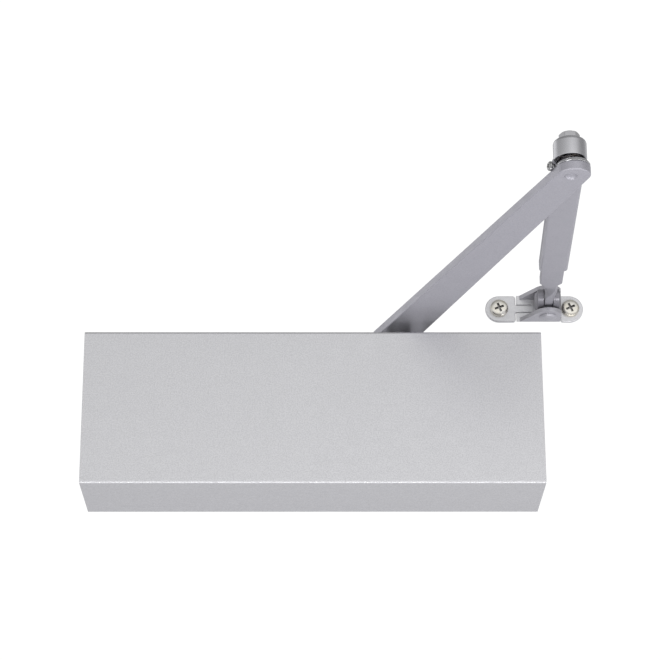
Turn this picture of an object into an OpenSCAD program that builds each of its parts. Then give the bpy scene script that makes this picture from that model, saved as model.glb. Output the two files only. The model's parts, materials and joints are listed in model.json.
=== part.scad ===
// Surface door closer with a full cover and a regular two-piece arm.
// Frame: the origin is the middle of the four door screws, in the plane of the door's face.
// +X runs along the cover towards the spindle's end, +Y into the door, +Z up.

/* [Cover] */
// Length of the cover
cover_length = 311; // [308:1:316]
// Height of the cover
cover_height = 108; // [106:1:112]
// How far the cover stands off the door
cover_depth = 66.5; // [64:0.5:72]
// Thickness of the cover's sheet
cover_wall = 1.6; // [1.2:0.1:2]
// Outer radius of the cover's bent edges
cover_bend = 2; // [1.8:0.2:3]
// Middle of the cover along X
cover_x = -10; // [-11:0.5:-9]

/* [Closer body] */
// Distance of the bore and the spindle from the door
axis_depth = 33; // [32:0.5:34]
// Place of the spindle along X
spindle_x = 50; // [49.5:0.5:50.5]
// Radius of the cylinder bore
bore_r = 20; // [20:0.1:20.5]
// Outer radius of the cylinder
barrel_r = 25; // [24.5:0.5:26]
// Left end of the cylinder
left_end = -94; // [-96:1:-93]
// Right end of the cylinder
right_end = 108; // [107.5:0.5:109]
// Distance between the door screws along X
door_pitch_x = 230.2; // [228:0.1:232]
// Distance between the door screws along Z
door_pitch_z = 19.05; // [19:0.05:20]
// Radius of the door screw holes
door_hole_r = 3.3; // [3:0.1:3.5]

/* [Gear] */
// Module of the pinion
gear_module = 2; // [2:1:2]
// Teeth on the pinion
gear_teeth = 10; // [10:1:10]
// Pressure angle of the rack and pinion
pressure_angle = 25; // [25:1:27]
// Opening swing of the main arm
arm_swing = 170; // [150:1:170]

/* [Main arm] */
// Height of the main arm's underside
arm_z = 64; // [63:0.5:65]
// Thickness of the main arm
arm_t = 6; // [5.5:0.5:6]
// Radius of the arm's end at the spindle
arm_r1 = 14.2; // [13.5:0.1:15]
// How far the arm runs on past the spindle before its round end
arm_tail = 12; // [0:1:14]
// Radius of the arm's end at the elbow
arm_r2 = 10.2; // [10:0.1:11]
// Place of the elbow along X
elbow_x = 142.7; // [142:0.1:143.5]
// Place of the elbow out from the door
elbow_y = -295; // [-297:0.5:-293]

/* [Forearm] */
// Height of the forearm's centre line at the elbow
forearm_z = 79; // [78.5:0.5:80]
// Width of the sleeve
sleeve_w = 19.2; // [18.9:0.1:20.5]
// Thickness of the sleeve
sleeve_t = 9.5; // [9.2:0.1:10]
// Width of the inner bar
bar_w = 15.5; // [14.5:0.1:15.5]
// Thickness of the inner bar
bar_t = 6; // [5.5:0.1:6.2]
// End of the sleeve, from the elbow
sleeve_end = 201.5; // [190:0.5:205]
// End of the bar's full width, from the elbow
bar_end = 236; // [232:0.5:238]

/* [Shoe] */
// Place of the shoe's pivot along X
pivot_x = 156.5; // [156:0.1:157.2]
// Place of the shoe's pivot out from the frame
pivot_y = -13.5; // [-14:0.1:-13]
// Height of the shoe's middle
shoe_z = 96; // [95.5:0.5:97]
// Middle of the shoe along X
shoe_x = 148.25; // [148:0.05:148.5]
// Distance between the shoe's screws
shoe_pitch = 50.8; // [50.5:0.1:51.5]
// Thickness of the shoe's sheet
shoe_t = 3; // [2.5:0.1:3]
// Half of the shoe's height
lobe_r = 9.8; // [9.5:0.1:10]

/* [Hidden] */
$fn = 96;

running = 0.05;          // radial clearance of every turning or sliding fit
elbow = [elbow_x, elbow_y];
sleeve_size = [sleeve_w, sleeve_t];
bar_size = [bar_w, bar_t];
pivot = [pivot_x, pivot_y];
axis_y = -axis_depth;
cover_left = cover_x - cover_length / 2;
cover_right = cover_x + cover_length / 2;

// cover fixing
bracket_t = 2;
bracket_half = 9;        // half of a bracket's width
bracket_foot_y = -8;     // the front face of the casting's lugs
bracket_hole_x = 130;
cover_screw_y = -24;
cover_screw_r = 2;

// casting
flange_t = 8;
flange_half_x = 138;
flange_half_z = 19;
boss_r = 19;
boss_half = 38;
shaft_bore_r = 13.5;
gland_r = 15.5;
gland_floor = 33.3;
valve_pad_x = 74;
valve_y = 6;             // distance of the twin valves from the bore's plane
valve_z = 29;
valve_r = 3.5;
valve_depth = 16;

// shaft
journal_r = 9;
gear_half = 13;
square = 12;
arm_top = arm_z + arm_t;

// gear
pitch_r = gear_module * gear_teeth / 2;
tooth_pitch = PI * gear_module;
backlash = 0.2;
gear_tip_r = pitch_r + gear_module;
gear_root_r = pitch_r - 1.15 * gear_module;
base_r = pitch_r * cos(pressure_angle);
rack_add = 0.85 * gear_module;
rack_ded = 1.25 * gear_module;

// piston
travel = pitch_r * arm_swing * PI / 180;
window_left = spindle_x - gear_tip_r - 0.5;
window_right = window_left + 2 * gear_tip_r + 1 + travel + 0.3;
piston_left = window_left - 11.5;
piston_right = window_right + 5.5;
rack_y = axis_y + pitch_r;
ball_r = 1.6;
pocket_r = 2.2;          // the check ball's pocket
pocket_depth = 4.2;
passage_r = 1;

// spring chamber
plug_left_t = 9;
collar_t = 2;
seat_t = 6;
seat_left = left_end + plug_left_t + collar_t + 0.3;
seat_right = seat_left + seat_t;
power_r = 5;
wire_r = 2.75;
coil_r = 15;
coil_turns = 9.5;

// elbow
stud_foot_r = 4;
stud_r = 6;
arm_end = [-1, -1.3];    // the arm's round end in the arm's own frame, off the elbow's axis
collar_top = arm_top + 3;
collar_r = 8.4;
elbow_bottom = arm_top + 4.6;
elbow_shoulder = arm_top + 15.2;
elbow_top = arm_top + 18;
elbow_r = 10;
lug_u = 6.9;             // along the arm from the elbow's axis
lock_r = 2.9;
lock_shank_r = 1.1;
lock_z = arm_top + 2.3;
lug_end = 9.2;           // the lug's face, across the arm from the elbow's axis

// directions of the two arms
arm_vector = [spindle_x, axis_y] - elbow;
arm_angle = atan2(arm_vector[1], arm_vector[0]);
fore_vector = pivot - elbow;
fore_angle = atan2(fore_vector[1], fore_vector[0]);
cross_back = 12.5;       // the cross pin's distance in front of the pivot
fore_run = norm(fore_vector) - cross_back;
fore_slope = atan2(shoe_z - forearm_z, fore_run);
fore_length = norm([fore_run, shoe_z - forearm_z]);

// forearm
sleeve_start = 18;
cavity_start = 30;
bar_start = 75;
clamp_at = 192;
tongue_t = 6.4;
tongue_r = 5.5;
neck_end = fore_length - 8;
cross_r = 2.5;

// shoe
ear_in = 7;              // half of the gap between the ears
ear_r = 10;
pivot_r = 4;
web_half = 2.75;
lobe_right = shoe_x - shoe_pitch / 2 + 11.7;
ear_left = lobe_right + 0.7;
ear_right = pivot[0] + 9.3;
slit_end = pivot[0] - 10.5;
slit = 0.5;              // between the web and the roots of the ears' wings
knuckle_r = 9.6;
fork_half = 7.5;         // half of the width across the knuckle's two cheeks
knuckle_half = 6.6;
screw_r = 2.8;           // the shoe's screws
screw_neck_r = 2.6;
screw_length = 14;       // how far they stand out behind the shoe

// ---------- shared shapes ----------

module rod_x(x0, x1, r) translate([x0, 0, 0]) rotate([0, 90, 0]) cylinder(r = r, h = x1 - x0);

module rod_z(z0, z1, r) translate([0, 0, z0]) cylinder(r = r, h = z1 - z0);

module box(low, high) translate(low) cube(high - low);

// A rectangle about the origin with rounded corners.
module rounded(size, r) {
    square([size[0] - 2 * r, size[1]], center = true);
    square([size[0], size[1] - 2 * r], center = true);
    for (x = [-1, 1], y = [-1, 1])
        translate([x * (size[0] / 2 - r), y * (size[1] / 2 - r)]) circle(r = r);
}

module at_bore() translate([0, axis_y, 0]) children();

module at_spindle() translate([spindle_x, axis_y, 0]) children();

module at_elbow() translate([elbow[0], elbow[1], 0]) children();

// The forearm's own frame: X along its centre line from the elbow.
module along_forearm()
    translate([elbow[0], elbow[1], forearm_z]) rotate([0, 0, fore_angle]) rotate([0, -fore_slope, 0])
        children();

// The main arm's own frame at the elbow: X towards the spindle, Y to the arm's left side.
module along_arm() translate([elbow[0], elbow[1], 0]) rotate([0, 0, arm_angle]) children();

// The knuckle's own frame: the pivot's axis, X away from the elbow.
module at_knuckle() translate([pivot[0], pivot[1], shoe_z]) rotate([0, 0, fore_angle]) children();

// A screw lying along X with its head at the high end.
module pan_screw(shank_r, length, head_r, head_h) {
    rod_x(-length, 0, shank_r);
    difference() {
        rotate([0, 90, 0]) union() {
            cylinder(r = head_r, h = head_h * 0.55);
            translate([0, 0, head_h * 0.55]) cylinder(r1 = head_r, r2 = head_r * 0.72, h = head_h * 0.45);
        }
        for (turn = [0, 90]) rotate([turn, 0, 0])
            box([head_h * 0.35, -head_r * 0.55, -head_r * 0.13],
                [head_h + 1, head_r * 0.55, head_r * 0.13]);
    }
}

// ---------- cover ----------

// A block bent over at the top and bottom of its front, with square ends.
module cover_block(inset, back) {
    deep = cover_depth - inset + back;
    translate([cover_x, back - deep / 2, 0]) rotate([90, 0, 90])
        linear_extrude(cover_length - 2 * inset, center = true) union() {
            rounded([deep, cover_height - 2 * inset], cover_bend - inset + 0.2);
            translate([deep / 4, 0]) square([deep / 2, cover_height - 2 * inset], center = true);
        }
}

module cover() color("silver") difference() {
    cover_block(0, 0);
    cover_block(cover_wall, 1);
    at_spindle() rod_z(cover_height / 2 - 5, cover_height / 2 + 5, 18);
    box([spindle_x - 18, axis_y, cover_height / 2 - 5], [spindle_x + 18, 5, cover_height / 2 + 5]);
    translate([0, cover_screw_y, 0]) rod_x(cover_left - 1, cover_left + 5, cover_screw_r + 0.2);
    translate([0, cover_screw_y, 0]) rod_x(cover_right - 5, cover_right + 1, cover_screw_r + 0.2);
}

module cover_screws() color("gainsboro") {
    translate([cover_right, cover_screw_y, 0]) pan_screw(cover_screw_r, 7, 3.6, 2.2);
    translate([cover_left, cover_screw_y, 0]) mirror([1, 0, 0]) pan_screw(cover_screw_r, 7, 3.6, 2.2);
}

// An angle of sheet steel from a lug of the casting to the cover's end wall, on the +X side.
module bracket(end_x) difference() {
    union() {
        box([bracket_hole_x - 7, bracket_foot_y - bracket_t, -bracket_half],
            [end_x, bracket_foot_y, bracket_half]);
        box([end_x - bracket_t, cover_screw_y - 8, -bracket_half],
            [end_x, bracket_foot_y, bracket_half]);
    }
    translate([bracket_hole_x, 0, 0]) rotate([90, 0, 0]) cylinder(r = 2.6, h = 20);
    translate([0, cover_screw_y, 0]) rod_x(end_x - 5, end_x + 1, cover_screw_r + running);
}

module right_bracket() color("darkgray") bracket(cover_right - cover_wall - 0.1);

module left_bracket() color("darkgray") mirror([1, 0, 0]) bracket(-cover_left - cover_wall - 0.1);

module bracket_screws() color("gainsboro") for (side = [-1, 1])
    translate([side * bracket_hole_x, bracket_foot_y - bracket_t, 0]) rotate([0, 0, -90])
        pan_screw(2.5, 8, 4.2, 2.6);

// ---------- closer body ----------

module door_holes() for (x = [-1, 1], z = [-1, 1])
    translate([x * door_pitch_x / 2, 1, z * door_pitch_z / 2]) rotate([90, 0, 0])
        cylinder(r = door_hole_r, h = flange_t + 2);

module closer_body() color("dimgray") difference() {
    union() {
        at_bore() rod_x(left_end, right_end, barrel_r);
        at_spindle() rod_z(-boss_half, boss_half, boss_r);
        translate([0, -flange_t / 2, 0]) rotate([90, 0, 0]) linear_extrude(flange_t, center = true)
            rounded([2 * flange_half_x, 2 * flange_half_z], 8);
        box([left_end, axis_y + 8, -16], [right_end, -flange_t / 2, 16]);
        for (side = [-1, 1])
            box([valve_pad_x, axis_y - 12, min(side * 15, side * 35)],
                [right_end, axis_y + 12, max(side * 15, side * 35)]);
    }
    at_bore() rod_x(left_end - 1, right_end + 1, bore_r);
    at_spindle() rod_z(-boss_half - 1, boss_half + 1, shaft_bore_r);
    for (side = [0, 1]) mirror([0, 0, side]) at_spindle() rod_z(gland_floor, boss_half + 1, gland_r);
    door_holes();
    for (x = [-1, 1]) translate([x * bracket_hole_x, -1, 0]) rotate([90, 0, 0])
        cylinder(r = 2.5 + running, h = 20);
    for (place = valve_places())
        translate([0, place[0], place[1]]) rod_x(right_end - valve_depth, right_end + 1, valve_r + running);
}

module left_plug() color("gray") at_bore() difference() {
    rod_x(left_end, left_end + plug_left_t, bore_r - 0.02);
    rod_x(left_end - 1, left_end + plug_left_t + 1, power_r + running);
    seal_groove(left_end + plug_left_t - 3);
}

module right_plug() color("gray") at_bore() difference() {
    rod_x(piston_right + 0.5, right_end, bore_r - 0.02);
    seal_groove(piston_right + 3.5);
    for (side = [-1, 1]) translate([0, side * 11, 0]) rod_x(right_end - 3, right_end + 1, 2.2);
}

module seal_groove(x) difference() {
    rod_x(x - 1.6, x + 1.6, bore_r + 1);
    rod_x(x - 3, x + 3, bore_r - 3.2);
}

module plug_seals() color("black") at_bore()
    for (x = [left_end + plug_left_t - 3, piston_right + 3.5])
        translate([x, 0, 0]) rotate([0, 90, 0])
            rotate_extrude() translate([bore_r - 1.65, 0]) circle(r = 1.45, $fn = 32);

// A flanged ring round the shaft, built for the upper side.
module bearing() at_spindle() difference() {
    rod_z(bore_r + 0.6, 29, shaft_bore_r - running);
    rod_z(bore_r, 30, journal_r + running);
}

module upper_bearing() color("goldenrod") bearing();

module lower_bearing() color("goldenrod") mirror([0, 0, 1]) bearing();

module shaft_seals() color("black") for (side = [0, 1]) mirror([0, 0, side]) at_spindle() difference() {
    rod_z(29.2, 33.1, shaft_bore_r - 0.05);
    rod_z(29, 34, journal_r + running);
    rod_z(31, 34, journal_r + 2);
}

module gland_nut() at_spindle() difference() {
    union() {
        rod_z(gland_floor + 0.1, boss_half, gland_r - running);
        rod_z(boss_half + 0.05, boss_half + 3.2, gland_r + 1.8);
    }
    rod_z(gland_floor, boss_half + 5, journal_r + 0.15);
    for (turn = [0:60:300]) rotate(turn) translate([13, 0, 0]) rod_z(boss_half + 1.2, boss_half + 5, 1.3);
}

module upper_gland_nut() color("gray") gland_nut();

module lower_gland_nut() color("gray") mirror([0, 0, 1]) gland_nut();

// ---------- valves and strength adjuster ----------

function valve_places() = [
    [axis_y - valve_y, -valve_z],
    [axis_y + valve_y, -valve_z],
    [axis_y, valve_z]
];

// A screw with a slotted end and a needle tip, in the hole at the given place.
module valve(place) translate([right_end, place[0], place[1]]) difference() {
    union() {
        rod_x(-valve_depth + 4, 1.5, valve_r);
        translate([-valve_depth + 0.5, 0, 0]) rotate([0, 90, 0]) cylinder(r1 = 0.8, r2 = 2.4, h = 3.5);
    }
    box([0.2, -valve_r - 1, -0.5], [3, valve_r + 1, 0.5]);
}

module sweep_valve() color("goldenrod") valve(valve_places()[0]);

module latch_valve() color("goldenrod") valve(valve_places()[1]);

module backcheck_valve() color("goldenrod") valve(valve_places()[2]);

module power_screw() color("darkgray") at_bore() {
    plug_in = left_end + plug_left_t;
    rod_x(left_end - 1, plug_in + 1, power_r);
    rod_x(plug_in + 0.1, plug_in + 0.1 + collar_t, power_r + 3);
    rod_x(plug_in + 1, plug_in + 30, power_r - 0.5);
    rotate([0, 90, 0]) translate([0, 0, left_end - 6]) cylinder(r = 5.2, h = 5.8, $fn = 6);
}

module spring_seat() color("darkgray") at_bore() difference() {
    union() {
        rod_x(seat_left, seat_right, bore_r - 0.1);
        rod_x(seat_right - 1, seat_right + 8, coil_r - wire_r - 1);
    }
    rod_x(seat_left - 1, seat_right + 9, power_r - 0.5 + running);
}

// ---------- piston ----------

// The rack: teeth standing out of the window's back wall towards the pinion.
function rack_tooth(x) = let (
        slope = tan(pressure_angle),
        half = tooth_pitch / 4 - backlash / 2
    ) [
        [x - half - (rack_ded + 1) * slope, rack_ded + 1],
        [x - half + rack_add * slope, -rack_add],
        [x + half - rack_add * slope, -rack_add],
        [x + half + (rack_ded + 1) * slope, rack_ded + 1]
    ];

module piston() color("lightsteelblue") difference() {
    union() {
        at_bore() difference() {
            rod_x(piston_left, piston_right, bore_r - running);
            box([window_left, -gear_tip_r - 1, -bore_r], [window_right, pitch_r + rack_ded, bore_r]);
            for (x = [piston_left + 3, piston_left + 8]) seal_groove_shallow(x);
        }
        translate([0, rack_y, 0]) linear_extrude(2 * gear_half, center = true)
            for (k = [-1:6]) polygon(rack_tooth(spindle_x + k * tooth_pitch));
    }
    at_bore() rod_x(window_right - 1, piston_right + 1, passage_r);
    at_bore() rod_x(piston_right - pocket_depth, piston_right + 1, pocket_r);
    at_bore() rod_x(piston_left - 1, window_left - 3, 9);
}

module seal_groove_shallow(x) difference() {
    rod_x(x - 0.8, x + 0.8, bore_r + 1);
    rod_x(x - 2, x + 2, bore_r - 1.2);
}

module check_ball() color("lightgray")
    translate([piston_right - 1 - ball_r, axis_y, 0]) sphere(r = ball_r, $fn = 48);

module ball_ring() color("gray") at_bore() difference() {
    rod_x(piston_right - 0.8, piston_right - 0.1, pocket_r - 0.02);
    rod_x(piston_right - 2, piston_right + 1, 1.1);
}

// Closed ring of points round the wire at one place along the coil.
function coil_ring(t, x0, pitch, sides) = let (
        turn = 360 * t,
        lead = atan2(pitch, 2 * PI * coil_r),
        radial = [0, cos(turn), sin(turn)],
        side = [cos(lead), sin(lead) * sin(turn), -sin(lead) * cos(turn)],
        mid = [x0 + pitch * t, 0, 0] + coil_r * radial
    ) [for (k = [0:sides - 1]) let (a = 360 * k / sides) mid + wire_r * (cos(a) * radial + sin(a) * side)];

module closing_spring() color("slategray") at_bore() {
    sides = 8;
    steps = round(coil_turns * 20);
    low = seat_right + wire_r + 0.3;
    pitch = (piston_left - wire_r - 0.3 - low) / coil_turns;
    rings = [for (i = [0:steps]) coil_ring(i * coil_turns / steps, low, pitch, sides)];
    points = [for (ring = rings) each ring];
    faces = concat(
        [[for (k = [0:sides - 1]) k]],
        [for (i = [0:steps - 1], k = [0:sides - 1]) let (n = (k + 1) % sides)
            [i * sides + k, (i + 1) * sides + k, (i + 1) * sides + n, i * sides + n]],
        [[for (k = [0:sides - 1]) steps * sides + sides - 1 - k]]
    );
    polyhedron(points = points, faces = faces, convexity = 20);
}

// ---------- pinion shaft and main arm ----------

function involute(roll) = base_r * [
    cos(roll) + roll * PI / 180 * sin(roll),
    sin(roll) - roll * PI / 180 * cos(roll)
];

// Polar angle of the involute where it has the given radius.
function involute_angle(r) = let (roll = sqrt(max(0, pow(r / base_r, 2) - 1))) roll * 180 / PI - atan(roll);

// One tooth standing about the +X direction.
module gear_tooth() {
    half = 360 * (tooth_pitch / 2 - backlash) / (4 * PI * pitch_r) + involute_angle(pitch_r);
    radii = [for (k = [0:6]) base_r + (gear_tip_r - base_r) * k / 6];
    flank = [for (r = radii) let (a = half - involute_angle(r)) r * [cos(a), sin(a)]];
    foot = (gear_root_r - 1) * [cos(half), sin(half)];
    polygon(concat([foot], flank, [for (k = [6:-1:0]) [flank[k][0], -flank[k][1]]], [[foot[0], -foot[1]]]));
}

module pinion_shaft() color("silver") at_spindle() {
    difference() {
        union() {
            linear_extrude(2 * gear_half, center = true) {
                circle(r = gear_root_r);
                for (k = [0:gear_teeth - 1])
                    rotate(90 + 180 / gear_teeth + k * 360 / gear_teeth) gear_tooth();
            }
            rod_z(gear_half, 34, journal_r);
            rod_z(34, arm_z, journal_r - 0.4);
            rod_z(-34, -gear_half, journal_r);
            rod_z(-43, -34, journal_r - 0.4);
            box([-square / 2, -square / 2, arm_z - 1], [square / 2, square / 2, arm_top - 1]);
            box([-square / 2, -square / 2, -48.5], [square / 2, square / 2, -42]);
        }
        rod_z(arm_top - 20, arm_top, 4 + running);
    }
}

module spindle_cap() color("black") at_spindle() difference() {
    rod_z(-50.8, -43.2, 10.8);
    rod_z(-49, -42, 9);
}

module main_arm() color("silver") difference() {
    along_arm() translate([0, 0, arm_z]) linear_extrude(arm_t) hull() {
        translate([norm(arm_vector) + arm_tail, 0]) circle(r = arm_r1);
        translate(arm_end) circle(r = arm_r2);
    }
    at_spindle() box([-square / 2 - running, -square / 2 - running, arm_z - 1],
        [square / 2 + running, square / 2 + running, arm_top + 1]);
    at_elbow() rod_z(arm_z - 1, arm_top + 1, stud_foot_r);
}

module arm_washer() color("gainsboro") at_spindle() difference() {
    rod_z(arm_top, arm_top + 1.6, 10);
    rod_z(arm_top - 1, arm_top + 3, 4 + running);
}

module arm_screw() color("gainsboro") at_spindle() {
    rod_z(arm_top - 18, arm_top + 1.7, 4);
    rod_z(arm_top + 1.6, arm_top + 2.1, 7);
    translate([0, 0, arm_top + 2]) cylinder(r = 7.5, h = 4.4, $fn = 6);
}

// ---------- elbow ----------

module elbow_stud() color("silver") at_elbow() difference() {
    union() {
        rod_z(arm_z - 0.3, arm_top, stud_foot_r);
        rod_z(arm_top, elbow_top - 0.1, stud_r);
    }
    rod_z(elbow_top - 12, elbow_top, 3.5 + running);
}

module elbow_collar() color("silver") difference() {
    union() {
        along_arm() translate([arm_end[0], arm_end[1], arm_top])
            cylinder(r1 = arm_r2 - 0.1, r2 = collar_r, h = collar_top - arm_top);
        along_arm() box([lug_u - 2.4, 4, arm_top], [lug_u + 2.4, lug_end, lock_z + 2.4]);
    }
    at_elbow() rod_z(arm_top - 1, elbow_top, stud_r + running);
    at_elbow() rod_z(collar_top, elbow_top, elbow_r + 0.5);
    along_arm() translate([lug_u, 6.4, lock_z]) rotate([-90, 0, 0])
        cylinder(r = lock_shank_r + running, h = 10);
    along_arm() translate([lug_u, lug_end, lock_z]) rotate([-90, 0, 0]) cylinder(r = lock_r + 0.2, h = 10);
}

module elbow_lock_screw() color("gainsboro") along_arm()
    translate([lug_u, lug_end, lock_z]) rotate([0, 0, 90]) pan_screw(lock_shank_r, 2.5, lock_r, 2.2);

module elbow_screw() color("gainsboro") at_elbow() {
    rod_z(elbow_top - 11, elbow_top + 0.2, 3.5);
    intersection() {
        translate([0, 0, elbow_top + 0.1]) cylinder(r = 6.4, h = 3.8, $fn = 6);
        translate([0, 0, elbow_top - 1]) cylinder(r1 = 8.4, r2 = 5.6, h = 5.6);
    }
}

module wave_washer() color("dimgray") at_elbow() difference() {
    rod_z(collar_top + 0.1, elbow_bottom, 8.6);
    rod_z(collar_top - 1, elbow_bottom + 1, stud_r + running);
}

module elbow_barrel() color("silver") difference() {
    union() {
        at_elbow() rod_z(elbow_bottom, elbow_shoulder, elbow_r);
        at_elbow() translate([0, 0, elbow_shoulder])
            cylinder(r1 = elbow_r, r2 = elbow_r - 3.4, h = elbow_top - elbow_shoulder);
        along_forearm() box([0, -bar_size[0] / 2, -bar_size[1] / 2],
            [cavity_start, bar_size[0] / 2, bar_size[1] / 2]);
    }
    at_elbow() rod_z(elbow_bottom - 5, elbow_top + 1, stud_r + running);
}

// ---------- forearm ----------

module forearm_sleeve() color("silver") along_forearm() difference() {
    translate([sleeve_start, 0, 0]) rotate([90, 0, 90]) linear_extrude(sleeve_end - sleeve_start)
        rounded(sleeve_size, 2);
    box([sleeve_start - 1, -bar_size[0] / 2 - 0.2, -bar_size[1] / 2 - 0.15],
        [sleeve_end + 1, bar_size[0] / 2 + 0.2, bar_size[1] / 2 + 0.15]);
    translate([clamp_at, 0, 0]) rod_z(0, 10, 3 + running);
}

module forearm_clamp_screw() color("gainsboro") along_forearm() translate([clamp_at, 0, 0]) {
    top = sleeve_size[1] / 2;
    rod_z(bar_size[1] / 2 + 0.1, top + 0.2, 3);
    difference() {
        rod_z(top + 0.1, top + 5, 5);
        translate([0, 0, top + 2.2]) cylinder(r = 2.9, h = 5, $fn = 6);
    }
}

module forearm_bar() color("silver") along_forearm() difference() {
    union() {
        box([bar_start, -bar_size[0] / 2, -bar_size[1] / 2],
            [bar_end - 3, bar_size[0] / 2, bar_size[1] / 2]);
        translate([0, 0, -bar_size[1] / 2]) linear_extrude(bar_size[1]) polygon([
            [bar_end - 3.5, -bar_size[0] / 2], [bar_end - 2, -bar_size[0] / 2],
            [bar_end + 2, -bar_size[0] / 2 + 3.2], [bar_end + 2, bar_size[0] / 2 - 3.2],
            [bar_end - 2, bar_size[0] / 2], [bar_end - 3.5, bar_size[0] / 2]]);
        // the neck turns from lying flat to standing upright
        hull() {
            box([bar_end + 1, -4.6, -bar_size[1] / 2], [bar_end + 4, 4.6, bar_size[1] / 2]);
            box([neck_end - 6, -tongue_t / 2, -tongue_r], [neck_end, tongue_t / 2, tongue_r]);
        }
        box([neck_end - 1, -tongue_t / 2, -tongue_r], [fore_length, tongue_t / 2, tongue_r]);
        translate([fore_length, 0, 0]) rotate([90, 0, 0])
            cylinder(r = tongue_r, h = tongue_t, center = true);
    }
    translate([fore_length, 0, 0]) rotate([90, 0, 0])
        cylinder(r = cross_r + running, h = tongue_t + 2, center = true);
}

module knuckle() color("silver") at_knuckle() difference() {
    union() {
        rod_z(-knuckle_half, knuckle_half, knuckle_r);
        box([-cross_back - 5.5, -fork_half, -knuckle_half], [0, fork_half, knuckle_half]);
    }
    rod_z(-knuckle_half - 1, knuckle_half + 1, pivot_r + running);
    box([-cross_back - 7, -tongue_t / 2 - 0.25, -knuckle_half - 1],
        [-cross_back + tongue_r + 0.6, tongue_t / 2 + 0.25, knuckle_half + 1]);
    translate([-cross_back, 0, 0]) rotate([90, 0, 0]) cylinder(r = cross_r, h = 40, center = true);
}

module cross_pin() color("gainsboro") at_knuckle() translate([-cross_back, 0, 0])
    rotate([90, 0, 0]) cylinder(r = cross_r, h = 2 * fork_half, center = true);

// ---------- shoe ----------

// One ear seen from above: a wing that runs out to a round end about the pivot.
module ear_outline() difference() {
    union() {
        translate(pivot) circle(r = ear_r);
        polygon([[ear_left, -1], [ear_left + 2.2, -shoe_t], [pivot[0] - 3.6, pivot[1] - 9.3],
            pivot, [ear_right, pivot[1]], [ear_right, -1]]);
        translate([ear_left, -shoe_t]) square([ear_right - ear_left, shoe_t]);
    }
    translate([ear_right, -50]) square([20, 60]);
}

module lobe(x, inner) hull() {
    translate([x, 0]) circle(r = lobe_r);
    translate([min(x, inner), -lobe_r + 1.5]) square([abs(inner - x), 2 * lobe_r - 3]);
    translate([min(x, inner - sign(inner - x) * 1.5), -lobe_r])
        square([abs(inner - x) - 1.5, 2 * lobe_r]);
}

module shoe_bracket() color("lightgray") translate([0, 0, shoe_z]) difference() {
    union() {
        rotate([90, 0, 0]) linear_extrude(shoe_t) {
            lobe(shoe_x - shoe_pitch / 2, lobe_right);
            lobe(shoe_x + shoe_pitch / 2 - 0.6, ear_right + 0.6);
            translate([lobe_right - 1, -web_half]) square([ear_right - lobe_right + 3, 2 * web_half]);
            translate([slit_end, -ear_in - 1]) square([ear_right - slit_end, 2 * ear_in + 2]);
            for (z = [-ear_in - 1, web_half + slit])
                translate([ear_left, z]) square([slit_end - ear_left + 1, ear_in + 1 - web_half - slit]);
        }
        for (z = [-ear_in - shoe_t, ear_in])
            translate([0, 0, z]) linear_extrude(shoe_t) ear_outline();
    }
    translate([pivot[0], pivot[1], 0]) rod_z(-20, 20, pivot_r);
    for (side = [-1, 1]) translate([shoe_x + side * shoe_pitch / 2, 0, 0]) rotate([90, 0, 0])
        cylinder(r = 2.9, h = 20, center = true);
}

module pivot_pin() color("gainsboro") translate([pivot[0], pivot[1], shoe_z]) {
    difference() {
        rod_z(-ear_in - shoe_t - 0.5, ear_in + shoe_t + 2.2, pivot_r);
        rod_z_groove(ear_in + shoe_t + 0.5, 1, pivot_r + 1, pivot_r - 0.6);
    }
    rod_z(-ear_in - shoe_t - 2.4, -ear_in - shoe_t, 6);
}

module rod_z_groove(z, h, outer, inner) difference() {
    rod_z(z, z + h, outer);
    rod_z(z - 1, z + h + 1, inner);
}

module pivot_ring() color("dimgray") translate([pivot[0], pivot[1], shoe_z]) difference() {
    rod_z_groove(ear_in + shoe_t + 0.55, 0.9, 6, pivot_r - 0.55);
    box([-1.5, 0, ear_in], [1.5, 10, 20]);
}

module shoe_screws() color("whitesmoke") for (side = [-1, 1])
    translate([shoe_x + side * shoe_pitch / 2, -shoe_t, shoe_z]) rotate([0, 0, -90])
        rotate([18, 0, 0]) {
            pan_screw(screw_neck_r, shoe_t, 6.4, 3.2);
            rod_x(-shoe_t - screw_length, -shoe_t, screw_r);
        }

cover();
cover_screws();
left_bracket();
right_bracket();
bracket_screws();
closer_body();
left_plug();
right_plug();
plug_seals();
upper_bearing();
lower_bearing();
shaft_seals();
upper_gland_nut();
lower_gland_nut();
piston();
check_ball();
ball_ring();
closing_spring();
spring_seat();
power_screw();
sweep_valve();
latch_valve();
backcheck_valve();
pinion_shaft();
spindle_cap();
main_arm();
arm_washer();
arm_screw();
elbow_stud();
elbow_collar();
elbow_lock_screw();
elbow_screw();
wave_washer();
elbow_barrel();
forearm_sleeve();
forearm_clamp_screw();
forearm_bar();
knuckle();
cross_pin();
shoe_bracket();
pivot_pin();
pivot_ring();
shoe_screws();
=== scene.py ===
import json
import math

import bmesh
import bpy
from mathutils import Euler, Matrix, Vector


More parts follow.
